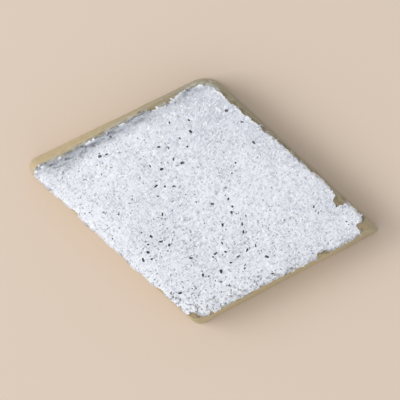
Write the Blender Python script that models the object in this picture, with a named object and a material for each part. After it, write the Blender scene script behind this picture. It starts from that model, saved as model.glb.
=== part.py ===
"""A diamond of cashew barfi with a sheet of silver leaf on its upper face.

Metres, +Z up. The slab lies on its flat underside at Z = 0, with the leaf on top. Its long diagonal
runs along X, from the covered tip at -X to the bare tip at +X, and the origin is the middle of the
base of the slab's box. Corners and sides go round anticlockwise as seen from above.
"""

import math
import random

import bmesh
import bpy
from mathutils import Vector, geometry, noise

# Slab: cut by hand into a parallelogram, so one pair of sides is longer than the other
LONG_SIDE = 0.0400
SHORT_SIDE = 0.0350
TIP_ANGLE = math.radians(70.0)
THICKNESS = 0.0070
# The cuts wander, so two of the corners stand out of the parallelogram by this much
LEFT_TIP_SHIFT = Vector((-0.0018, 0.0003, 0.0))
FRONT_CORNER_SHIFT = Vector((0.0, -0.0004, 0.0))

# The sides in order: left tip to front corner, to right tip, to back corner, and back to the left tip.
# The knife leans, so the base stands out past the rim by this much at each side's start and end.
LEAN = ((0.0003, 0.0004), (0.0008, 0.0005), (0.0002, 0.0005), (0.0007, 0.0021))
# The knife also drags the rim down: how far in from the rim each side's top starts to fall.
ROLL_OFF = (0.0006, 0.0008, 0.0009, 0.0020)
RIM_DROP = 0.0008
# The edge round the underside is cut off at a slant, this far in and up
BASE_EDGE = 0.0003

# The corners in order: left tip, front corner, right tip, back corner
CORNER_RADII = (0.0018, 0.0017, 0.0006, 0.0042)
LEAST_RADIUS = 0.0004
# Faces round each corner, the longest face along a side, and rings up a side and over its rim
ARC_STEPS = (8, 6, 5, 10)
SIDE_STEP = 0.0015
SIDE_LEVELS = 4
RIM_LEVELS = 3

# Rolling pin and knife leave the faces slightly uneven
TOP_WAVE = 0.00016
TOP_WAVELENGTH = 0.0120
TOP_PATTERN = 3.7
SIDE_WAVE = 0.00016
SIDE_WAVELENGTH = 0.0070
TOP_SPACING = 0.0021

# Silver leaf: in fact a film that clings to the slab, drawn thicker here and just clear of it
LEAF_GAP = 0.0003
LEAF_THICKNESS = 0.0002
LEAF_CRINKLE = 0.00018
LEAF_CRINKLE_SIZE = 0.0022
# Grid spacing over the sheet, and the length of each straight stretch of its edge
LEAF_SPACING = 0.0016
LEAF_STEP = 0.0007
# How far the leaf stops short of the rim at each side's start and end, and how ragged that line is
LEAF_MARGIN = ((0.0002, 0.0002), (0.0003, 0.0003), (0.0001, 0.0011), (0.0008, 0.0012))
LEAF_CORNER_RADII = (0.0008, 0.0017, 0.0009, 0.0042)
RAGGED_DEPTH = 0.0003
RAGGED_LENGTH = 0.0016
RAGGED_PATTERN = 1.3
# Finer fraying takes this share of the raggedness
FRAY_SHARE = 0.35
FRAY_LENGTH = 0.0005
FRAY_PATTERN = 7.9

# Bare bites at the leaf's edge: side, share of the way along it, distance in from it, radius
BITES = (
    (1, 1.00, 0.0000, 0.0033),
    (1, 0.71, -0.0004, 0.0015),
    (1, 0.00, 0.0000, 0.0019),
    (2, 0.23, -0.0004, 0.0014),
    (3, 0.10, -0.0004, 0.0017),
    (3, 0.26, -0.0113, 0.0130),
    (3, 0.72, -0.0008, 0.0015),
)
BITE_STEP = 0.0001

# Torn pits through the leaf, in loose clusters
PIT_COUNT = 52
PIT_SEED = 16
PIT_REACHES = (0.0002, 0.00035)
PIT_WIDTH_SHARE = 0.5
PIT_POINTS = 6
PIT_CLEARANCE = 0.0005
PIT_CLUSTER_SIZE = 0.0090
PIT_CLUSTER_PATTERN = 10.0
PIT_CLUSTER_LEVEL = 0.06

# Colour, roughness and metallic value of each piece
SLAB_FINISH = ((0.56, 0.45, 0.24), 0.55, 0.0)
LEAF_FINISH = ((0.80, 0.82, 0.86), 0.42, 1.0)
SHARP_ANGLE = math.radians(40)

# Grid points stay this share of the spacing away from an outline, and crowded outline points go
GRID_CLEARANCE = 0.45
LEAST_STEP_SHARE = 0.8
MERGE_DISTANCE = 1e-6


def clear_scene():
    for obj in list(bpy.data.objects):
        bpy.data.objects.remove(obj, do_unlink=True)


def base_corners():
    """The four corners of the base, with the long diagonal along X and its middle at the origin."""
    diagonal = math.sqrt(
        LONG_SIDE**2 + SHORT_SIDE**2 + 2 * LONG_SIDE * SHORT_SIDE * math.cos(TIP_ANGLE)
    )
    front_turn = math.asin(SHORT_SIDE * math.sin(TIP_ANGLE) / diagonal)
    left = Vector((-diagonal / 2, 0.0, 0.0))
    front = left + LONG_SIDE * Vector((math.cos(front_turn), -math.sin(front_turn), 0.0))
    return [left + LEFT_TIP_SHIFT, front + FRONT_CORNER_SHIFT, -left, -front]


def sides_of(corners):
    """(start, end, inward direction) of each side."""
    found = []
    for start, end in zip(corners, corners[1:] + corners[:1]):
        along = (end - start).normalized()
        found.append((start, end, Vector((-along.y, along.x, 0.0))))
    return found


def inset_corners(corners, insets):
    """The corners once each side's line has moved inwards by its own distances at its start and end."""
    lines = []
    for (start, end, inward), (at_start, at_end) in zip(sides_of(corners), insets):
        lines.append((start + inward * at_start, end + inward * at_end))
    return [
        geometry.intersect_line_line(*lines[i - 1], *lines[i])[0] for i in range(len(lines))
    ]


def even(distances):
    """The same inset at both ends of each side."""
    return [(distance, distance) for distance in distances]


def rounded_outline(corners, radii, side_steps):
    """The outline's points with its corners rounded: an arc for each corner, then the side after it."""
    arcs = []
    for i, corner in enumerate(corners):
        back = (corners[i - 1] - corner).normalized()
        ahead = (corners[(i + 1) % len(corners)] - corner).normalized()
        half_angle = back.angle(ahead) / 2
        middle = corner + (back + ahead).normalized() * radii[i] / math.sin(half_angle)
        first = corner + back * radii[i] / math.tan(half_angle) - middle
        turn = math.pi - 2 * half_angle
        arc = []
        for k in range(ARC_STEPS[i] + 1):
            angle = turn * k / ARC_STEPS[i]
            arc.append(
                middle
                + first * math.cos(angle)
                + Vector((-first.y, first.x, 0.0)) * math.sin(angle)
            )
        arcs.append(arc)
    points = []
    for i, arc in enumerate(arcs):
        points += arc
        onward = arcs[(i + 1) % len(arcs)][0]
        for k in range(1, side_steps[i]):
            points.append(arc[-1].lerp(onward, k / side_steps[i]))
    return points


def side_steps_for(corners):
    return [max(2, round((end - start).length / SIDE_STEP)) for start, end, _ in sides_of(corners)]


def slab_rings(base, rim):
    """Rings of points up the cut sides and over the rolled-off rim, and the last one's outline."""
    steps = side_steps_for(base)
    body_height = THICKNESS - RIM_DROP
    rings = []

    def add_ring(corners, radii, height):
        outline = rounded_outline(corners, radii, steps)
        rings.append([Vector((p.x, p.y, height)) for p in outline])

    smaller = [max(LEAST_RADIUS, radius - BASE_EDGE) for radius in CORNER_RADII]
    add_ring(inset_corners(base, even([BASE_EDGE] * len(base))), smaller, 0.0)
    for level in range(SIDE_LEVELS + 1):
        height = BASE_EDGE + (body_height - BASE_EDGE) * level / SIDE_LEVELS
        share = height / body_height
        corners = [low.lerp(high, share) for low, high in zip(base, rim)]
        add_ring(corners, CORNER_RADII, height)
    for level in range(1, RIM_LEVELS + 1):
        angle = math.pi / 2 * level / RIM_LEVELS
        insets = [width * (1 - math.cos(angle)) for width in ROLL_OFF]
        radii = [max(LEAST_RADIUS, r - inset) for r, inset in zip(CORNER_RADII, insets)]
        corners = inset_corners(rim, even(insets))
        add_ring(corners, radii, body_height + RIM_DROP * math.sin(angle))
    return rings


def inside(point, outline):
    """Whether a point is inside a closed outline, by counting the edges that a ray crosses."""
    crossed = False
    for a, b in zip(outline, outline[1:] + outline[:1]):
        if (a.y > point.y) != (b.y > point.y):
            if point.x < a.x + (point.y - a.y) / (b.y - a.y) * (b.x - a.x):
                crossed = not crossed
    return crossed


def distance_to(point, outline):
    """Distance from a point to the nearest stretch of a closed outline."""
    nearest = math.inf
    for a, b in zip(outline, outline[1:] + outline[:1]):
        along = b - a
        share = max(0.0, min(1.0, (point - a).dot(along) / along.length_squared))
        nearest = min(nearest, (point - a - along * share).length)
    return nearest


def triangulated(outline, spacing, holes=()):
    """A flat sheet inside the outline, with holes, as (points, triangles) on a staggered grid."""
    loops = [[Vector((p.x, p.y)) for p in loop] for loop in [outline, *holes]]
    points, edges = [], []
    for loop in loops:
        first = len(points)
        points += loop
        edges += [(first + i, first + (i + 1) % len(loop)) for i in range(len(loop))]
    row_height = spacing * math.sqrt(3) / 2
    low = Vector((min(p.x for p in points), min(p.y for p in points)))
    high = Vector((max(p.x for p in points), max(p.y for p in points)))
    for row in range(int((high.y - low.y) / row_height) + 1):
        for column in range(int((high.x - low.x) / spacing) + 1):
            point = low + Vector((spacing * (column + 0.5 * (row % 2)), row_height * row))
            if not inside(point, loops[0]):
                continue
            if min(distance_to(point, loop) for loop in loops) > spacing * GRID_CLEARANCE:
                points.append(point)
    whole = [list(range(len(loops[0])))]
    found, _, faces, *_ = geometry.delaunay_2d_cdt(points, edges, whole, 1, MERGE_DISTANCE)
    kept = []
    for face in faces:
        centre = sum((found[i] for i in face), Vector((0.0, 0.0))) / len(face)
        if not any(inside(centre, hole) for hole in loops[1:]):
            kept.append(face)
    return found, kept


def wave(x, y, wavelength, pattern):
    """Smooth humps and hollows, from -1 to 1; another pattern number gives other ones."""
    return noise.noise(Vector((x / wavelength, y / wavelength, pattern)))


def make_slab(base, rim):
    """The cashew slab, ring by ring up its sides, closed by its flat underside and its top."""
    rings = slab_rings(base, rim)
    mesh = bmesh.new()
    rows = [[mesh.verts.new(point) for point in ring] for ring in rings]
    mesh.faces.new(reversed(rows[0]))
    for lower, upper in zip(rows, rows[1:]):
        for i in range(len(lower)):
            onward = (i + 1) % len(lower)
            mesh.faces.new((lower[i], lower[onward], upper[onward], upper[i]))
    points, faces = triangulated(rings[-1], TOP_SPACING)
    top = [mesh.verts.new((p.x, p.y, THICKNESS)) for p in points]
    for face in faces:
        mesh.faces.new([top[i] for i in face])
    bmesh.ops.remove_doubles(mesh, verts=mesh.verts, dist=MERGE_DISTANCE)
    bmesh.ops.recalc_face_normals(mesh, faces=mesh.faces)
    mesh.normal_update()
    for vert in mesh.verts:
        x, y, z = vert.co
        outward = Vector((vert.normal.x, vert.normal.y, 0.0))
        vert.co += outward * SIDE_WAVE * wave(x, y, SIDE_WAVELENGTH, z / SIDE_WAVELENGTH)
        vert.co.z += TOP_WAVE * wave(x, y, TOP_WAVELENGTH, TOP_PATTERN) * z / THICKNESS
    bmesh.ops.triangulate(mesh, faces=mesh.faces)
    return object_from(mesh, "cashew_slab")


def bitten(point, inward, bites):
    """Moves a point inwards until it is clear of every bare bite."""
    while any((point - centre).length < radius for centre, radius in bites):
        point = point + inward * BITE_STEP
    return point


def leaf_outline(rim):
    """The torn line where the leaf ends, a little way in from the rim."""
    corners = inset_corners(rim, LEAF_MARGIN)
    smooth = rounded_outline(corners, LEAF_CORNER_RADII, side_steps_for(corners))
    middle = sum(corners, Vector()) / len(corners)
    rim_sides = sides_of(rim)
    bites = []
    for side, share, inwards, radius in BITES:
        start, end, inward = rim_sides[side]
        bites.append((start.lerp(end, share) + inward * inwards, radius))
    torn = []
    for a, b in zip(smooth, smooth[1:] + smooth[:1]):
        steps = max(1, round((b - a).length / LEAF_STEP))
        for k in range(steps):
            point = a.lerp(b, k / steps)
            edge = (b - a).normalized()
            inward = Vector((-edge.y, edge.x, 0.0))
            tear = wave(point.x, point.y, RAGGED_LENGTH, RAGGED_PATTERN)
            fray = wave(point.x, point.y, FRAY_LENGTH, FRAY_PATTERN)
            depth = 0.5 + 0.5 * (tear * (1 - FRAY_SHARE) + fray * FRAY_SHARE)
            point = point + inward * RAGGED_DEPTH * depth
            torn.append(bitten(point, (middle - point).normalized(), bites))
    return evenly_spaced(torn, LEAF_STEP * LEAST_STEP_SHARE)


def evenly_spaced(outline, least):
    """The outline without points that crowd the one before them, as bites and tight corners do."""
    kept = [outline[0]]
    for point in outline[1:]:
        if (point - kept[-1]).length >= least:
            kept.append(point)
    if (kept[0] - kept[-1]).length < least:
        kept.pop()
    return kept


def pit_loops(outline):
    """Short torn strokes through the leaf, kept clear of its edge and of each other."""
    draw = random.Random(PIT_SEED)
    xs = [p.x for p in outline]
    ys = [p.y for p in outline]
    pits, loops = [], []
    while len(pits) < PIT_COUNT:
        centre = Vector((draw.uniform(min(xs), max(xs)), draw.uniform(min(ys), max(ys)), 0.0))
        reach = draw.uniform(*PIT_REACHES)
        turn = draw.uniform(0.0, math.pi)
        if wave(centre.x, centre.y, PIT_CLUSTER_SIZE, PIT_CLUSTER_PATTERN) < PIT_CLUSTER_LEVEL:
            continue
        if not inside(centre, outline) or distance_to(centre, outline) < reach + PIT_CLEARANCE:
            continue
        if any((centre - other).length < reach + size + PIT_CLEARANCE for other, size in pits):
            continue
        pits.append((centre, reach))
        along = Vector((math.cos(turn), math.sin(turn), 0.0)) * reach
        across = Vector((-along.y, along.x, 0.0)) * PIT_WIDTH_SHARE
        loop = []
        for k in range(PIT_POINTS):
            angle = 2 * math.pi * k / PIT_POINTS
            loop.append(centre + along * math.cos(angle) + across * math.sin(angle))
        loops.append(loop)
    return loops


def make_leaf(rim, slab):
    """The silver leaf: a torn flat sheet, dropped on the slab, crinkled, then given a thickness."""
    outline = leaf_outline(rim)
    points, faces = triangulated(outline, LEAF_SPACING, pit_loops(outline))
    mesh = bmesh.new()
    height_before_drop = THICKNESS * 2
    verts = [mesh.verts.new((p.x, p.y, height_before_drop)) for p in points]
    for face in faces:
        mesh.faces.new([verts[i] for i in face])
    bmesh.ops.delete(mesh, geom=[v for v in mesh.verts if not v.link_faces], context="VERTS")
    leaf = object_from(mesh, "silver_leaf")

    drop = leaf.modifiers.new("drop_on_slab", "SHRINKWRAP")
    drop.target = slab
    drop.wrap_method = "PROJECT"
    drop.use_project_z = True
    drop.use_negative_direction = True
    drop.use_positive_direction = False
    drop.wrap_mode = "ABOVE_SURFACE"
    drop.offset = LEAF_GAP

    texture = bpy.data.textures.new("leaf_crinkle", "CLOUDS")
    texture.noise_scale = LEAF_CRINKLE_SIZE
    crinkle = leaf.modifiers.new("crinkle", "DISPLACE")
    crinkle.texture = texture
    crinkle.texture_coords = "LOCAL"
    crinkle.direction = "Z"
    crinkle.mid_level = 0.0
    crinkle.strength = LEAF_CRINKLE

    foil = leaf.modifiers.new("foil", "SOLIDIFY")
    foil.thickness = LEAF_THICKNESS
    foil.offset = 1.0
    return leaf


def object_from(mesh, name):
    data = bpy.data.meshes.new(name)
    mesh.to_mesh(data)
    mesh.free()
    obj = bpy.data.objects.new(name, data)
    bpy.context.scene.collection.objects.link(obj)
    return obj


def finish(obj, colour, roughness, metallic):
    """A Principled material for the piece, and smooth shading between its sharp edges."""
    material = bpy.data.materials.new(obj.name)
    material.use_nodes = True
    shader = material.node_tree.nodes["Principled BSDF"]
    shader.inputs["Base Color"].default_value = (*colour, 1.0)
    shader.inputs["Roughness"].default_value = roughness
    shader.inputs["Metallic"].default_value = metallic
    obj.data.materials.append(material)
    obj.data.shade_smooth()
    obj.data.set_sharp_from_angle(angle=SHARP_ANGLE)


def centre_on_base(slab):
    """The shift that puts the middle of the slab's box on the origin."""
    xs = [v.co.x for v in slab.data.vertices]
    ys = [v.co.y for v in slab.data.vertices]
    return Vector((-(min(xs) + max(xs)) / 2, -(min(ys) + max(ys)) / 2, 0.0))


def main():
    clear_scene()
    base = base_corners()
    rim = inset_corners(base, LEAN)
    slab = make_slab(base, rim)
    leaf = make_leaf(rim, slab)
    finish(slab, *SLAB_FINISH)
    finish(leaf, *LEAF_FINISH)
    for obj in (slab, leaf):
        obj.location = centre_on_base(slab)


main()
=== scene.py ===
"""A diamond of cashew barfi under torn silver leaf, seen from almost straight above in soft light.

Metres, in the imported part's own frame: the slab lies on Z = 0 with its long diagonal along X.
"""

import math
import random

import bmesh
import bpy
import numpy as np
from mathutils import Matrix, Vector, noise


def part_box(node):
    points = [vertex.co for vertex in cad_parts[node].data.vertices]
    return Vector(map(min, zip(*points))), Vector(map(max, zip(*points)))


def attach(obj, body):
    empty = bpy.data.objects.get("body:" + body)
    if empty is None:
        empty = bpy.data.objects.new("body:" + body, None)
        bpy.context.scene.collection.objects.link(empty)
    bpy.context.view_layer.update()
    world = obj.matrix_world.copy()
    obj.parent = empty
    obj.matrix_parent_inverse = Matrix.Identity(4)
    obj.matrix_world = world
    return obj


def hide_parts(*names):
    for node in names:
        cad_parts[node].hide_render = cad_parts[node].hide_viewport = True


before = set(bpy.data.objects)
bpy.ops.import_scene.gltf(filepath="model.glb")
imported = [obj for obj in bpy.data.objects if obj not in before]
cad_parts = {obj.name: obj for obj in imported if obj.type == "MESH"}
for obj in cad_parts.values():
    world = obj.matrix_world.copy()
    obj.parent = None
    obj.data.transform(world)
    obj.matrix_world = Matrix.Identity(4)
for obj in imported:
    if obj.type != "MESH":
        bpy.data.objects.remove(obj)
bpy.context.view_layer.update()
bpy.ops.object.select_all(action="DESELECT")


# The cashew slab: ground cashews cooked in sugar syrup to a stiff paste, rolled out flat on a
# greased sheet and cut into diamonds with a long knife. The blade leaves faint upright drag marks
# down the sides, pulls the upper edge down, and lifts grains out of the top here and there.
SLAB_VOXEL = 0.00021
SLAB_SMOOTHING = 4
MERGE_DISTANCE = 1e-6
SLAB_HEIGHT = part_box("cashew_slab")[1].z
# What counts as the top, from these shares of the height on, and what stays flat on the floor
TOP_FROM = (0.75, 0.85)
OFF_BASE = (0.0001, 0.0006)

# Drag marks down the sides, broad pulls across them, grains in the paste, and nicks in the rim
DRAG_WIDTH = 0.0009
DRAG_LENGTH = 0.0080
DRAG_DEPTH = 0.00005
PULL_WIDTH = 0.0045
PULL_DEPTH = 0.00012
GRAIN_SIZE = 0.0006
GRAIN_DEPTH = 0.00002
NICK_SIZE = 0.0013
NICK_LEVELS = (0.15, 0.5)
NICK_DEPTH = 0.00022

# Small hollows where a grain came out, each with a soft rim this far outside and inside its edge
HOLLOW_SEED = 21
HOLLOW_COUNT = 100
HOLLOW_REACHES = (0.00007, 0.00018)
HOLLOW_WIDTH_SHARES = (0.40, 0.70)
HOLLOW_DEPTHS = (0.00008, 0.00024)
HOLLOW_RIM = (0.00012, -0.00006)
HOLLOW_CLUSTER_SIZE = 0.0080
# More of them open towards the front of the slab
HOLLOW_FRONT_SHARE = 45.0
# One deeper notch in the leaf bares the rim; the share is from the bare tip to the back corner
NOTCH_SHARE = 0.22
NOTCH_RADIUS = 0.0011

PASTE_COLOUR = (0.58, 0.47, 0.275, 1)
PALE_GRAIN_COLOUR = (0.68, 0.58, 0.39, 1)
BROWN_FLECK_COLOUR = (0.36, 0.25, 0.12, 1)
OLIVE_COLOUR = (0.47, 0.41, 0.22, 1)
# Painted shade: the paste is painted greyer and darker towards the back corner and the side that runs
# on from it
SHADE_TOWARDS_BACK = (0.3, 1.0, 0.0)
SHADE_TOWARDS_BACK_FROM = (-0.002, 0.016)
SHADED_GREY_OLIVE_COLOUR = (0.29, 0.29, 0.22, 1)
# The bare top is darker: partly moist paste, partly painted shade
MOIST_AND_SHADED_TOP_COLOUR = (0.34, 0.245, 0.14, 1)
# The dark line beside the leaf, partly a stain and partly painted shade under the leaf's edge, is at
# its least at the covered tip and grows along X
STAIN_AND_SHADE_COLOUR = (0.17, 0.14, 0.075, 1)
STAIN_AND_SHADE_WIDTH = 0.0005
STAIN_AND_SHADE_LEAST = 0.4
STAIN_AND_SHADE_GROWS_OVER = (-0.024, -0.010)
# The film of silver on the left back rim: how far out from the leaf, and how far in from that side
FILM_WIDTH = 0.0010
FILM_SPAN = (0.0026, 0.0012)
FILM_COLOUR = (0.50, 0.50, 0.45, 1)
# Painted shade: the paste under the leaf, seen only down its pits, is near-black from this far inside
# the leaf's line
COVERED_FROM = 0.0002
PIT_SHADE_COLOUR = (0.085, 0.085, 0.092, 1)
PALE_PIT_SHADE_COLOUR = (0.24, 0.24, 0.26, 1)
SMEAR_COLOUR = (0.74, 0.74, 0.74, 1)
PASTE_ROUGHNESS = 0.46
PASTE_SUBSURFACE = 0.12
PASTE_SCATTER = (0.0012, 0.0008, 0.0004)

# Sizes of the patterns in the paste, and the depth of its finest relief
MOTTLE_SIZE = 0.0060
LUMP_SIZE = 0.0016
FINE_GRAIN_SIZE = 0.00040
SCRATCH_WIDTH = 0.00050
FLECK_SIZE = 0.00050
SMEAR_SIZE = 0.0011
STAIN_AND_SHADE_SIZE = 0.0012
FILM_SIZE = 0.0010
PIT_SHADE_SIZE = 0.0025
PASTE_RELIEF = 0.00003


def select_only(piece):
    bpy.ops.object.select_all(action="DESELECT")
    piece.select_set(True)
    bpy.context.view_layer.objects.active = piece


def finish_with(piece, kind, **settings):
    """Puts a modifier on a piece and applies it."""
    select_only(piece)
    modifier = piece.modifiers.new(kind.lower(), kind)
    for name, value in settings.items():
        setattr(modifier, name, value)
    bpy.ops.object.modifier_apply(modifier=modifier.name)


def push(piece, how_far):
    """Moves every point of a piece along its normal by how_far(index, place, normal)."""
    normals = [vertex.normal.copy() for vertex in piece.data.vertices]
    for index, vertex in enumerate(piece.data.vertices):
        normal = normals[index]
        vertex.co = vertex.co + normal * how_far(index, vertex.co, normal)
    piece.data.update()


def ramp(value, low, high):
    """0 up to low and 1 from high on, with a smooth rise between them; the two may be swapped."""
    share = np.clip((value - low) / (high - low), 0.0, 1.0)
    return share * share * (3 - 2 * share)


def noise_at(place, size, pattern=0.0, upright=None):
    """Smooth noise from -1 to 1 with humps of that size, drawn out to another length along Z."""
    height = place.z / (upright or size)
    return noise.noise(Vector((place.x / size, place.y / size, height)) + Vector((pattern,) * 3))


def torn_lines(node):
    """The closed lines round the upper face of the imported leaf, its outer edge first."""
    sheet = bmesh.new()
    sheet.from_mesh(node.data)
    bmesh.ops.remove_doubles(sheet, verts=sheet.verts, dist=MERGE_DISTANCE)
    sheet.normal_update()
    ends = {}
    for edge in sheet.edges:
        if sum(face.normal.z > 0.5 for face in edge.link_faces) == 1:
            for vertex in edge.verts:
                ends.setdefault(vertex, []).append(edge.other_vert(vertex))
    lines = []
    while ends:
        line = [next(iter(ends))]
        while True:
            onward = [v for v in ends.pop(line[-1]) if v in ends]
            if not onward:
                break
            line.append(onward[0])
        lines.append([Vector((v.co.x, v.co.y)) for v in line])
    sheet.free()
    return sorted(lines, key=len, reverse=True)


leaf_lines = torn_lines(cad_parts["silver_leaf"])
leaf_low, leaf_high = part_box("silver_leaf")
tip = min(leaf_lines[0], key=lambda point: point.x)
front_corner = min(leaf_lines[0], key=lambda point: point.y)
bare_end = max(leaf_lines[0], key=lambda point: point.x)
back_corner = max(leaf_lines[0], key=lambda point: point.y)
notch = Vector((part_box("cashew_slab")[1].x, 0.0)).lerp(back_corner, NOTCH_SHARE)

# Each hollow is a short stroke: its middle, half its length as a vector, half its width, its depth
draw = random.Random(HOLLOW_SEED)
strokes = []
for line in leaf_lines[1:]:
    middle = sum(line, Vector((0.0, 0.0))) / len(line)
    strokes.append((middle, max((point - middle for point in line), key=lambda arm: arm.length)))
while len(strokes) < HOLLOW_COUNT + len(leaf_lines) - 1:
    middle = Vector((draw.uniform(leaf_low.x, leaf_high.x), draw.uniform(leaf_low.y, leaf_high.y)))
    reach = draw.uniform(*HOLLOW_REACHES)
    turn = draw.uniform(0.0, math.pi)
    crowding = noise_at(middle.to_3d(), HOLLOW_CLUSTER_SIZE) - middle.y * HOLLOW_FRONT_SHARE
    if crowding > draw.uniform(-0.5, 0.4):
        strokes.append((middle, Vector((math.cos(turn), math.sin(turn))) * reach))
hollows = []
for middle, reach in strokes:
    share = draw.uniform(*HOLLOW_WIDTH_SHARES)
    hollows.append((middle, reach * (1 - share), reach.length * share, draw.uniform(*HOLLOW_DEPTHS)))


def from_hollows(places):
    """How far each place, a row of x and y, is outside the nearest hollow, and how deep that is."""
    nearest = np.full(len(places), 1.0)
    depth = np.zeros(len(places))
    for middle, arm, width, deep in hollows:
        offset = places - np.array(middle)
        share = np.clip(offset @ np.array(arm) / arm.length_squared, -1.0, 1.0)
        away = np.linalg.norm(offset - share[:, None] * np.array(arm), axis=1) - width
        depth = np.where(away < nearest, deep, depth)
        nearest = np.minimum(nearest, away)
    return nearest, depth


def from_line(places, line):
    """How far each place is inside a closed line; negative outside it."""
    points = np.array(line)
    nearest = np.full(len(places), 1.0)
    crossings = np.zeros(len(places), int)
    for start, end in zip(points, np.roll(points, -1, axis=0)):
        along = end - start
        offset = places - start
        share = np.clip(offset @ along / (along @ along), 0.0, 1.0)
        away = np.linalg.norm(offset - share[:, None] * along, axis=1)
        nearest = np.minimum(nearest, away)
        spans = (start[1] > places[:, 1]) != (end[1] > places[:, 1])
        rise = along[1] if along[1] else 1.0
        crossings += spans & (places[:, 0] < start[0] + (places[:, 1] - start[1]) / rise * along[0])
    return np.where(crossings % 2 == 1, nearest, -nearest)


def from_side(places, start, end):
    """How far each place is to the right of the straight line from start to end."""
    along = (end - start).normalized()
    return (places[:, :2] - start) @ np.array((along.y, -along.x))


def from_notch(places):
    """How far each place is outside the notch that is torn out of the leaf."""
    return np.linalg.norm(places[:, :2] - notch, axis=1) - NOTCH_RADIUS


def points_of(piece):
    """The places of a piece's points, one row each."""
    places = np.zeros(len(piece.data.vertices) * 3, np.float32)
    piece.data.vertices.foreach_get("co", places)
    return places.reshape(-1, 3).astype(float)


def keep_values(piece, name, values):
    """Stores one number for each point of a piece, for its material to read."""
    attribute = piece.data.attributes.get(name) or piece.data.attributes.new(name, "FLOAT", "POINT")
    attribute.data.foreach_set("value", np.asarray(values, np.float32))


slab = bpy.data.objects.new("barfi_slab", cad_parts["cashew_slab"].data.copy())
bpy.context.collection.objects.link(slab)
slab.data.materials.clear()
select_only(slab)
bpy.ops.object.mode_set(mode="EDIT")
bpy.ops.mesh.select_all(action="SELECT")
bpy.ops.mesh.remove_doubles(threshold=MERGE_DISTANCE)
bpy.ops.object.mode_set(mode="OBJECT")
finish_with(slab, "REMESH", mode="VOXEL", voxel_size=SLAB_VOXEL, use_smooth_shade=True)
finish_with(slab, "SMOOTH", factor=0.5, iterations=SLAB_SMOOTHING)

# Under the leaf the paste is painted near-black, the painted shade of the pits through which it shows,
# and beside the leaf a dark line is painted, partly stain and partly painted shade
slab_places = points_of(slab)
outside_hollow, hollow_depth = from_hollows(slab_places[:, :2])
near_top = ramp(slab_places[:, 2] / SLAB_HEIGHT, *TOP_FROM)
in_hollow = ramp(outside_hollow, *HOLLOW_RIM) * near_top
under_leaf = np.minimum(from_line(slab_places[:, :2], leaf_lines[0]), from_notch(slab_places))
keep_values(slab, "covered", ramp(under_leaf, COVERED_FROM, COVERED_FROM * 2) * near_top)
# The dark line beside the leaf is partly a stain and partly painted shade under its edge
beside_leaf = ramp(np.abs(under_leaf + STAIN_AND_SHADE_WIDTH), STAIN_AND_SHADE_WIDTH, 0.0)
beside_leaf *= STAIN_AND_SHADE_LEAST + (1 - STAIN_AND_SHADE_LEAST) * ramp(slab_places[:, 0], *STAIN_AND_SHADE_GROWS_OVER)
keep_values(slab, "stain_and_shade", beside_leaf * near_top)

# The knife rubbed a film of silver off the leaf onto the rim of the left back side
rubbed = ramp(under_leaf, -FILM_WIDTH, -FILM_WIDTH / 2) * near_top
rubbed *= ramp(from_side(slab_places, tip, back_corner), *FILM_SPAN)
keep_values(slab, "rubbed", rubbed)


def worn_by_knife(index, place, normal):
    """How far a point of the slab stands out: less in drag marks, pulls and nicks."""
    on_side = ramp(1 - abs(normal.z), 0.2, 0.6)
    off_base = ramp(place.z, *OFF_BASE)
    near_rim = ramp(place.z, SLAB_HEIGHT * 0.6, SLAB_HEIGHT * 0.95) * ramp(normal.z, 0.97, 0.7)
    drag = noise_at(place, DRAG_WIDTH, 4.0, DRAG_LENGTH) - 0.4
    pull = noise_at(place, PULL_WIDTH, 9.0) - 0.5
    grain = noise_at(place, GRAIN_SIZE, 2.0) - 0.6
    nick = ramp(noise_at(place, NICK_SIZE, 6.0), *NICK_LEVELS)
    depth = on_side * (drag * DRAG_DEPTH + pull * PULL_DEPTH) + grain * GRAIN_DEPTH
    depth -= near_rim * nick * NICK_DEPTH
    return depth * off_base


push(slab, worn_by_knife)

# The leaf lies on the slab as it was before the grains came out, and spans the hollows flat
unbroken = slab.copy()
unbroken.data = slab.data.copy()
bpy.context.collection.objects.link(unbroken)
push(slab, lambda index, place, normal: -in_hollow[index] * hollow_depth[index])


class Socket:
    """An output in a material's nodes. Sums on it add Math nodes, and node() adds any other."""

    def __init__(self, tree, output=None):
        self.tree = tree
        self.output = output

    def node(self, kind, settings, inputs, output=0):
        made = self.tree.nodes.new(kind)
        for name, value in settings.items():
            setattr(made, name, value)
        for name, value in inputs.items():
            if isinstance(value, Socket):
                self.tree.links.new(value.output, made.inputs[name])
            else:
                made.inputs[name].default_value = value
        return Socket(self.tree, made.outputs[output])

    def math(self, operation, *values):
        return self.node("ShaderNodeMath", {"operation": operation}, dict(enumerate(values)))

    def __add__(self, other):
        return self.math("ADD", self, other)

    def __radd__(self, other):
        return self.math("ADD", other, self)

    def __sub__(self, other):
        return self.math("SUBTRACT", self, other)

    def __rsub__(self, other):
        return self.math("SUBTRACT", other, self)

    def __mul__(self, other):
        return self.math("MULTIPLY", self, other)

    def __rmul__(self, other):
        return self.math("MULTIPLY", other, self)

    def rise(self, low, high):
        """0 below low and 1 above high, with a smooth rise between them."""
        return self.node(
            "ShaderNodeMapRange",
            {"interpolation_type": "SMOOTHSTEP"},
            {"Value": self, "From Min": low, "From Max": high},
        )

    def within_one(self):
        return self.math("MINIMUM", self.math("MAXIMUM", self, 0.0), 1.0)

    def blend(self, start, end):
        """The colour start where this is 0, end where it is 1."""
        mixed = {"data_type": "RGBA", "clamp_factor": True}
        return self.node("ShaderNodeMix", mixed, {0: self, 6: start, 7: end}, output=2)


def new_material(name):
    """A material, its shader node, and the places of the piece's points, from which patterns start."""
    material = bpy.data.materials.new(name)
    material.use_nodes = True
    tree = material.node_tree
    place = Socket(tree).node("ShaderNodeTexCoord", {}, {}, output="Object")
    return material, tree.nodes["Principled BSDF"], place


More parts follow.
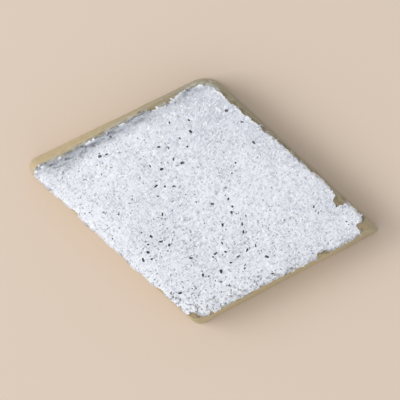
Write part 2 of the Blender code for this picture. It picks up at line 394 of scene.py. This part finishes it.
def pattern(place, size, detail=2.0, roughness=0.5, squeeze=(1, 1, 1), turn=0.0, offset=0.0):
    """Noise from 0 to 1 with humps of that size in metres, squeezed along axes turned about Z."""
    scale = tuple(share / size for share in squeeze)
    moved = place.node("ShaderNodeMapping", {}, {"Vector": place, "Rotation": (0.0, 0.0, turn)})
    moved = place.node(
        "ShaderNodeMapping", {}, {"Vector": moved, "Location": (offset,) * 3, "Scale": scale}
    )
    return place.node(
        "ShaderNodeTexNoise", {},
        {"Vector": moved, "Scale": 1.0, "Detail": detail, "Roughness": roughness},
    )


def upwards(place):
    """How far the surface faces up: 1 on top and 0 down a side."""
    normal = place.node("ShaderNodeNewGeometry", {}, {}, output="Normal")
    return place.node("ShaderNodeSeparateXYZ", {}, {"Vector": normal}, output="Z")


def bumped(height, depth):
    """Shading normals for a relief of that depth in metres."""
    return height.node("ShaderNodeBump", {}, {"Height": height, "Distance": depth, "Strength": 1.0})


def kept(place, name):
    """The numbers that keep_values stored under that name."""
    return place.node("ShaderNodeAttribute", {"attribute_name": name}, {}, output="Fac")


def connect(shader, **links):
    """Links sockets to a shader's inputs, named with _ for a space."""
    for name, value in links.items():
        socket = shader.inputs[name.replace("_", " ")]
        if isinstance(value, Socket):
            value.tree.links.new(value.output, socket)
        else:
            socket.default_value = value


paste, shader, place = new_material("cashew_paste")
height = place.node("ShaderNodeSeparateXYZ", {}, {"Vector": place}, output="Z")
shaded_towards_back = place.node(
    "ShaderNodeVectorMath", {"operation": "DOT_PRODUCT"}, {0: place, 1: SHADE_TOWARDS_BACK}, output="Value"
).rise(*SHADE_TOWARDS_BACK_FROM)
mottle = pattern(place, MOTTLE_SIZE, detail=3.0).rise(0.35, 0.65)
grain = pattern(place, FINE_GRAIN_SIZE, offset=3.0)
scratches = pattern(place, SCRATCH_WIDTH, squeeze=(1, 1, 0.10), offset=5.0)
flecks = pattern(place, FLECK_SIZE, detail=0.0, offset=7.0).rise(0.74, 0.82)
near_rim = height.rise(SLAB_HEIGHT * 0.55, SLAB_HEIGHT * 0.97)
on_top = upwards(place).rise(0.80, 0.98) * height.rise(SLAB_HEIGHT * 0.6, SLAB_HEIGHT * 0.9)
smears = pattern(place, SMEAR_SIZE, detail=3.0, roughness=0.6, squeeze=(1, 1, 0.5), offset=13.0)
smears = (smears + near_rim * 0.10).rise(0.70, 0.76) * (1 - on_top)
colour = (mottle * 0.45).blend(PASTE_COLOUR, OLIVE_COLOUR)
colour = (grain.rise(0.50, 0.70) * 0.40).blend(colour, PALE_GRAIN_COLOUR)
# Painted shade: greyer and darker towards the back corner
colour = (shaded_towards_back * 0.7).blend(colour, SHADED_GREY_OLIVE_COLOUR)
colour = (flecks * 0.5).blend(colour, BROWN_FLECK_COLOUR)
# The bare top is darker: partly moist paste, partly painted shade
colour = (on_top * 0.80).blend(colour, MOIST_AND_SHADED_TOP_COLOUR)
# The dark line beside the leaf: partly stain, partly painted shade
stain_and_shade = kept(place, "stain_and_shade") * pattern(place, STAIN_AND_SHADE_SIZE, detail=3.0, offset=19.0).rise(0.40, 0.60)
colour = (stain_and_shade * 0.8).blend(colour, STAIN_AND_SHADE_COLOUR)
film = kept(place, "rubbed") * pattern(place, FILM_SIZE, detail=3.0, offset=47.0).rise(0.35, 0.60)
colour = (film * 0.9).blend(colour, FILM_COLOUR)
colour = (smears * 0.7).blend(colour, SMEAR_COLOUR)
# Painted shade: the paste under the leaf is near-black, for the shade down its pits
pit_shade_colour = pattern(place, PIT_SHADE_SIZE, offset=43.0).rise(0.42, 0.60)
colour = kept(place, "covered").blend(colour, pit_shade_colour.blend(PIT_SHADE_COLOUR, PALE_PIT_SHADE_COLOUR))
connect(
    shader,
    Base_Color=colour,
    Metallic=smears * 0.7,
    Roughness=grain * 0.16 + (PASTE_ROUGHNESS - 0.08),
    Normal=bumped(grain + scratches * 0.8 + pattern(place, LUMP_SIZE) * 0.6, PASTE_RELIEF),
    Subsurface_Weight=PASTE_SUBSURFACE,
    Subsurface_Radius=PASTE_SCATTER,
    Subsurface_Scale=1.0,
    IOR=1.45,
)
slab.data.materials.append(paste)
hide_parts("cashew_slab")
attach(slab, "root")


# The silver leaf: silver beaten to a film, laid on the warm sheet before it was cut. It clings to
# every grain, wrinkles finely, tears over the hollows, and ends in a ragged line where the knife
# turned it down over the rim, with its edge curled up in places.
LEAF_SPACING = 0.00032
TEAR_SPACING = LEAF_SPACING / 4
# Points nearer to a tear than this share of its spacing move onto it
TEAR_SHARE = 0.55
LEAST_STEEPNESS = 0.25
LEAF_CLEARANCE = 0.00004
LEAF_THICKNESS = 0.00003
SMOOTH_WITHIN = math.radians(50)

# How far it reaches past its packed outline, and down from the top, with an uneven lower edge
LEAF_GROWTH = 0.00022
LEAF_TURN_DOWN = 0.00070
TURN_DOWN_SIZE = 0.0012
TURN_DOWN_CHANGE = 0.00025
# Round the covered tip it reaches further out and down
TIP_SPAN = (0.0040, 0.0018)
TIP_GROWTH = 0.00045
TIP_TURN_DOWN = 0.0014

# The torn edge: its frays, the hairs on them, and scraps left beyond it
FRAY_SIZE = 0.0010
FRAY_DEPTH = 0.00018
HAIR_SIZE = 0.00025
HAIR_DEPTH = 0.00009
SCRAP_SIZE = 0.0006
SCRAP_LEVEL = 0.42
SCRAP_REACH = 0.0022
# Frayed more along the two sides that end in the bare tip
FRONT_FRAY = 2.6
BACK_FRAY = 1.2
FRAY_SPAN = (0.0030, 0.0012)

# The crinkled face and the curled edge
CREASE_SIZE = 0.0012
CREASE_DEPTH = 0.000035
DENT_SIZE = 0.0006
DENT_DEPTH = 0.000016
CURL_WIDTH = 0.00045
CURL_HEIGHT = 0.00022
CURL_SIZE = 0.0028

# A band of painted shade, darker in painted creases, along the long left back side, narrower at both
# ends
SHADED_BAND_WIDTH = 0.0020
SHADED_BAND_START = 0.0008
SHADED_BAND_WAVER = 0.0012
SHADED_BAND_NARROWING = 0.070
TIP_SPARED = 0.0010
# Darker towards the back corner too, darker and more speckled along the right front side, and painted
# light along the left front side
DARKER_TOWARDS_BACK_FROM = (0.006, 0.016)
DARKER_FRONT_RIGHT_TO = (0.0004, 0.0022)
PAINTED_LIGHT_FRONT_LEFT_TO = (0.0015, 0.0045)

SILVER_COLOUR = (0.91, 0.915, 0.95, 1)
# Painted glints, and painted highlights on the curled edge
PAINTED_GLINT_COLOUR = (1.00, 1.00, 1.00, 1)
# Duller tone at random, with painted shade in the wrinkles and where the leaf turns down over the rim
DULL_AND_SHADED_SILVER_COLOUR = (0.58, 0.60, 0.66, 1)
# Painted shade in a band along the long left back side, darker in its creases
SHADED_BAND_COLOUR = (0.50, 0.52, 0.56, 1)
BAND_CREASE_SHADE_COLOUR = (0.20, 0.21, 0.23, 1)
# Thin leaf showing the paste, with painted shade at its edge and where it turns down over the rim
THIN_AND_SHADED_LEAF_COLOUR = (0.40, 0.38, 0.36, 1)
# Painted shade: the near-black of tiny pits through the leaf
SPECK_SHADE_COLOUR = (0.10, 0.10, 0.11, 1)
# More specks towards the front, as with the hollows
SPECK_FRONT_SHARE = 2.6
LEAF_ROUGHNESS = 0.68
LEAF_METALLIC = 0.45

# Sizes of the patterns in the silver, the width of its edge, and the depth of its finest relief
CLOUD_SIZE = 0.0045
FINE_SIZE = 0.00028
WRINKLE_SIZE = 0.00024
WRINKLE_TURNS = (0.6, -0.9)
WAVER_SIZE = 0.0014
BAND_CREASE_SIZE = 0.0009
BAND_CREASE_TURN = -0.64
SPECK_SIZE = 0.00040
SPECK_CLUSTER_SIZE = 0.0070
GLINT_SIZE = 0.00030
CURL_GLINT_SIZE = 0.0020
THIN_SIZE = 0.0008
EDGE_WIDTH = 0.0006
LEAF_RELIEF = 0.00002


def at_tip(places):
    """1 on the covered tip, where the leaf reaches further down, and 0 a little away from it."""
    return ramp(np.linalg.norm(places[:, :2] - tip, axis=1), *TIP_SPAN)


def leaf_left(places):
    """How far each place is inside what is left of the leaf; negative where it is torn away."""
    fray, hair, scrap = np.array([
        [noise_at(Vector((x, y, 0.0)), size) for size in (FRAY_SIZE, HAIR_SIZE, SCRAP_SIZE)]
        for x, y in places
    ]).T
    fray *= 1 + FRONT_FRAY * ramp(from_side(places, bare_end, front_corner), *FRAY_SPAN)
    fray *= 1 + BACK_FRAY * ramp(from_side(places, back_corner, bare_end), *FRAY_SPAN)
    growth = LEAF_GROWTH + TIP_GROWTH * at_tip(places)
    edge = np.minimum(from_line(places, leaf_lines[0]) + growth, from_notch(places))
    edge += fray * FRAY_DEPTH + hair * HAIR_DEPTH
    fading = np.clip(-edge / SCRAP_REACH, 0.0, 1.0)
    scraps = (scrap - SCRAP_LEVEL - fading) * SCRAP_SIZE + hair * HAIR_DEPTH
    return np.minimum(np.maximum(edge, scraps), from_hollows(places)[0] + hair * HAIR_DEPTH)


def start_selecting(piece, wanted):
    """Goes into edit mode with only the faces selected for which wanted(corners' indices) holds."""
    select_only(piece)
    bpy.ops.object.mode_set(mode="EDIT")
    bpy.ops.mesh.select_mode(type="FACE")
    bpy.ops.mesh.select_all(action="DESELECT")
    bpy.ops.object.mode_set(mode="OBJECT")
    for face in piece.data.polygons:
        face.select = bool(wanted(list(face.vertices)))
    bpy.ops.object.mode_set(mode="EDIT")


width = leaf_high.x - leaf_low.x + 2 * LEAF_GROWTH
depth = leaf_high.y - leaf_low.y + 2 * LEAF_GROWTH
bpy.ops.object.select_all(action="DESELECT")
bpy.ops.mesh.primitive_grid_add(
    x_subdivisions=round(width / LEAF_SPACING),
    y_subdivisions=round(depth / LEAF_SPACING),
    size=1.0,
    location=((leaf_low.x + leaf_high.x) / 2, (leaf_low.y + leaf_high.y) / 2, SLAB_HEIGHT * 1.5),
)
leaf = bpy.context.active_object
leaf.name = "torn_silver_leaf"
bpy.ops.transform.resize(value=(width, depth, 1.0))
bpy.ops.object.transform_apply(location=True, rotation=True, scale=True)

# The sheet is divided more finely along its tears, and what lies well beyond them goes first
spacing = LEAF_SPACING
left = leaf_left(points_of(leaf)[:, :2])
start_selecting(leaf, lambda corners: left[corners].max() < -spacing)
bpy.ops.mesh.delete(type="FACE")
bpy.ops.object.mode_set(mode="OBJECT")
while spacing > TEAR_SPACING * 1.01:
    left = leaf_left(points_of(leaf)[:, :2])
    start_selecting(leaf, lambda corners: np.abs(left[corners]).min() < spacing)
    bpy.ops.mesh.subdivide(number_cuts=1)
    bpy.ops.object.mode_set(mode="OBJECT")
    spacing /= 2

# Points close to a tear move onto it, and the faces beyond it go
places = points_of(leaf)
left = leaf_left(places[:, :2])
step = TEAR_SPACING * 0.1
slope_x = (leaf_left(places[:, :2] + (step, 0.0)) - left) / step
slope_y = (leaf_left(places[:, :2] + (0.0, step)) - left) / step
steepness = np.maximum(slope_x**2 + slope_y**2, LEAST_STEEPNESS)
close = np.abs(left) < TEAR_SPACING * TEAR_SHARE
places[:, 0] -= np.where(close, left * slope_x / steepness, 0.0)
places[:, 1] -= np.where(close, left * slope_y / steepness, 0.0)
leaf.data.vertices.foreach_set("co", places.ravel())
left = np.where(close, 0.0, left)
keep_values(leaf, "from_back_side", from_side(places, tip, back_corner) + at_tip(places) * TIP_SPARED)
keep_values(leaf, "from_front_left", from_side(places, front_corner, tip))
keep_values(leaf, "from_front_right", from_side(places, bare_end, front_corner))
keep_values(leaf, "from_edge", from_line(places[:, :2], leaf_lines[0]) + LEAF_GROWTH)
start_selecting(leaf, lambda corners: left[corners].min() < 0.0 or left[corners].max() == 0.0)
bpy.ops.mesh.delete(type="FACE")
bpy.ops.object.mode_set(mode="OBJECT")

finish_with(
    leaf, "SHRINKWRAP", target=unbroken, wrap_method="PROJECT", use_project_z=True,
    use_negative_direction=True, use_positive_direction=False, wrap_mode="ABOVE_SURFACE",
    offset=LEAF_CLEARANCE,
)
bpy.data.objects.remove(unbroken)

# The knife cut the leaf off a little way down the sides, and what missed the slab goes too
places = points_of(leaf)
lowest = np.array([
    SLAB_HEIGHT - LEAF_TURN_DOWN + noise_at(Vector(place), TURN_DOWN_SIZE) * TURN_DOWN_CHANGE
    for place in places
]) - TIP_TURN_DOWN * at_tip(places)
hanging = (places[:, 2] < lowest) | (places[:, 2] > leaf_high.z)
start_selecting(leaf, lambda corners: hanging[corners].any())
bpy.ops.mesh.delete(type="FACE")
bpy.ops.mesh.select_all(action="SELECT")
bpy.ops.mesh.delete_loose()
bpy.ops.object.mode_set(mode="OBJECT")
from_edge = np.zeros(len(leaf.data.vertices), np.float32)
leaf.data.attributes["from_edge"].data.foreach_get("value", from_edge)


def crinkled(index, place, normal):
    """How far a point of the leaf lifts in creases, dents and the curl of its edge."""
    crease = abs(noise_at(place, CREASE_SIZE, 3.0)) * 2
    dent = noise_at(place, DENT_SIZE, 5.0) + 1
    curl = ramp(from_edge[index], CURL_WIDTH, 0.0) * ramp(noise_at(place, CURL_SIZE, 8.0), 0.0, 0.5)
    return crease * CREASE_DEPTH + dent * DENT_DEPTH + curl * CURL_HEIGHT


push(leaf, crinkled)
finish_with(leaf, "SOLIDIFY", thickness=LEAF_THICKNESS, offset=1.0)
select_only(leaf)
bpy.ops.object.shade_smooth_by_angle(angle=SMOOTH_WITHIN)

silver, shader, place = new_material("beaten_silver")
clouding = pattern(place, CLOUD_SIZE, detail=4.0, roughness=0.6).rise(0.30, 0.70)
fine = pattern(place, FINE_SIZE, detail=3.0, roughness=0.6, offset=2.0)
turn, other_turn = WRINKLE_TURNS
wrinkles = pattern(place, WRINKLE_SIZE, squeeze=(1, 0.35, 1), turn=turn, offset=4.0)
across = pattern(place, WRINKLE_SIZE, squeeze=(1, 0.35, 1), turn=other_turn, offset=9.0)
wrinkles = 1 - (1 - wrinkles.rise(0.50, 0.72)) * (1 - across.rise(0.50, 0.72))
near_edge = 1 - kept(place, "from_edge").rise(0.0, EDGE_WIDTH)
turned_down = 1 - upwards(place).rise(0.90, 0.995)
towards_back = place.node("ShaderNodeSeparateXYZ", {}, {"Vector": place}, output="Y")
# Painted shade in a band along the long left back side, with painted shade in its creases
waver = pattern(place, WAVER_SIZE, detail=3.0, offset=29.0) * SHADED_BAND_WAVER
shaded_band = kept(place, "from_back_side") + waver + towards_back * SHADED_BAND_NARROWING - SHADED_BAND_START
shaded_band = (1 - shaded_band.math("DIVIDE", shaded_band, SHADED_BAND_WIDTH)).within_one()
# Darker and more speckled along the right front side
darker_front_right = 1 - kept(place, "from_front_right").rise(*DARKER_FRONT_RIGHT_TO)
# Painted light along the left front side
painted_light_front_left = 1 - kept(place, "from_front_left").rise(*PAINTED_LIGHT_FRONT_LEFT_TO)
band_crease_shade = pattern(
    place, BAND_CREASE_SIZE, detail=3.0, squeeze=(0.5, 1.4, 1), turn=BAND_CREASE_TURN, offset=31.0
)
band_crease_shade = band_crease_shade.rise(0.48, 0.60) * 0.8 + wrinkles * 0.3
clusters = pattern(place, SPECK_CLUSTER_SIZE, offset=17.0).rise(0.40, 0.70)
specks = pattern(place, SPECK_SIZE, detail=1.0, offset=11.0)
specks = specks + (clusters * 0.05 - towards_back * SPECK_FRONT_SHARE)
specks = (specks + shaded_band * 0.05 + near_edge * 0.05 + darker_front_right * 0.035).rise(0.68, 0.76)
# Painted glints: tiny white highlights painted into the silver's colour
painted_glints = pattern(place, GLINT_SIZE, squeeze=(1, 0.5, 1), turn=0.2, offset=37.0).rise(0.56, 0.68)
# Painted highlights where the edge curls up
curl_glints = pattern(place, CURL_GLINT_SIZE, offset=41.0).rise(0.50, 0.56) * near_edge
# Thin leaf at random, with painted shade at the edge and where the leaf turns down
thin_and_shaded = pattern(place, THIN_SIZE, detail=3.0, offset=23.0)
thin_and_shaded = (thin_and_shaded + near_edge * 0.16 + turned_down * 0.10 + darker_front_right * 0.08).rise(0.60, 0.74) * 0.6
# Duller at random in clouds, with painted shade in the wrinkles and where the leaf turns down
dull_and_shaded = wrinkles * 0.75 + clouding * 0.32 + turned_down * 0.30
# Darker towards the back corner, and painted light along the left front side
dull_and_shaded = dull_and_shaded + towards_back.rise(*DARKER_TOWARDS_BACK_FROM) * 0.25 - painted_light_front_left * 0.17
colour = dull_and_shaded.blend(SILVER_COLOUR, DULL_AND_SHADED_SILVER_COLOUR)
colour = (painted_glints * 0.9).blend(colour, PAINTED_GLINT_COLOUR)
colour = shaded_band.blend(colour, band_crease_shade.blend(SHADED_BAND_COLOUR, BAND_CREASE_SHADE_COLOUR))
colour = thin_and_shaded.blend(colour, THIN_AND_SHADED_LEAF_COLOUR)
colour = (curl_glints * 0.8).blend(colour, PAINTED_GLINT_COLOUR)
# Painted shade of the tiny pits the specks stand for
colour = (specks * 0.7).blend(colour, SPECK_SHADE_COLOUR)
connect(
    shader,
    Base_Color=colour,
    Metallic=LEAF_METALLIC - specks * 0.3,
    Roughness=fine * 0.20 + (LEAF_ROUGHNESS - 0.10),
    Normal=bumped(fine * 0.8 - wrinkles * 0.6 - specks, LEAF_RELIEF),
)
leaf.data.materials.append(silver)
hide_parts("silver_leaf")
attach(leaf, "root")


# The floor: a plain pale peach sheet that the sweet lies on.
FLOOR_SIZE = 3.0
FLOOR_COLOUR = (0.77, 0.63, 0.51, 1)

bpy.ops.object.select_all(action="DESELECT")
bpy.ops.mesh.primitive_plane_add(size=FLOOR_SIZE)
floor = bpy.context.active_object
floor.name = "floor"
sheet, shader, place = new_material("peach_sheet")
connect(shader, Base_Color=FLOOR_COLOUR, Roughness=0.9, Specular_IOR_Level=0.2)
floor.data.materials.append(sheet)


# Camera and light: the camera looks almost straight down, from a little towards the bare tip, and is
# turned so that the long diagonal runs down to the right. A broad soft light hangs overhead to the
# left of the picture, and the room fills the rest.
ROLL = math.radians(10.4)
LENS = 175
PICTURE_WIDTH = 0.0680
OFF_VERTICAL = math.radians(5.5)
OFF_VERTICAL_TOWARDS = Vector((0.991, -0.133, 0.0))
LIGHT_TOWARDS = (-1.0, 0.08)
LIGHT_FROM_VERTICAL = math.radians(50)
LIGHT_DISTANCE = 1.10
LIGHT_SIZE = 0.70
LIGHT_POWER = 6.0
ROOM_COLOUR = (0.91, 0.93, 0.96, 1)
ROOM_STRENGTHS = (0.58, 0.84)
ROOM_BRIGHTER = (-0.25, -0.97)

picture_right = Vector((math.cos(ROLL), math.sin(ROLL), 0.0))
picture_up = Vector((-math.sin(ROLL), math.cos(ROLL), 0.0))
target = Vector((0.0, 0.0, SLAB_HEIGHT / 2))
bpy.ops.object.camera_add()
camera = bpy.context.active_object
camera.data.lens = LENS
distance = PICTURE_WIDTH * LENS / camera.data.sensor_width
away = OFF_VERTICAL_TOWARDS * math.sin(OFF_VERTICAL) + Vector((0.0, 0.0, math.cos(OFF_VERTICAL)))
camera.location = target + away * distance
right = picture_up.cross(away).normalized()
camera.rotation_euler = Matrix((right, away.cross(right), away)).transposed().to_euler()
camera.data.clip_start = 0.01
bpy.context.scene.camera = camera

bpy.ops.object.light_add(type="AREA")
softbox = bpy.context.active_object
towards = picture_right * LIGHT_TOWARDS[0] + picture_up * LIGHT_TOWARDS[1]
aim = towards * math.sin(LIGHT_FROM_VERTICAL) + Vector((0.0, 0.0, math.cos(LIGHT_FROM_VERTICAL)))
softbox.location = target + aim * LIGHT_DISTANCE
softbox.rotation_euler = aim.to_track_quat("Z", "Y").to_euler()
softbox.data.shape = "SQUARE"
softbox.data.size = LIGHT_SIZE
softbox.data.energy = LIGHT_POWER

room = bpy.data.worlds.new("room")
room.use_nodes = True
background = room.node_tree.nodes["Background"]
background.inputs["Color"].default_value = ROOM_COLOUR
brighter = picture_right * ROOM_BRIGHTER[0] + picture_up * ROOM_BRIGHTER[1]
direction = Socket(room.node_tree).node("ShaderNodeTexCoord", {}, {}, output="Generated")
facing = direction.node(
    "ShaderNodeVectorMath", {"operation": "DOT_PRODUCT"}, {0: direction, 1: brighter}, output="Value"
)
dimmest, brightest = ROOM_STRENGTHS
connect(background, Strength=facing.rise(-1.0, 1.0) * (brightest - dimmest) + dimmest)
bpy.context.scene.world = room
bpy.context.scene.view_settings.view_transform = "Standard"
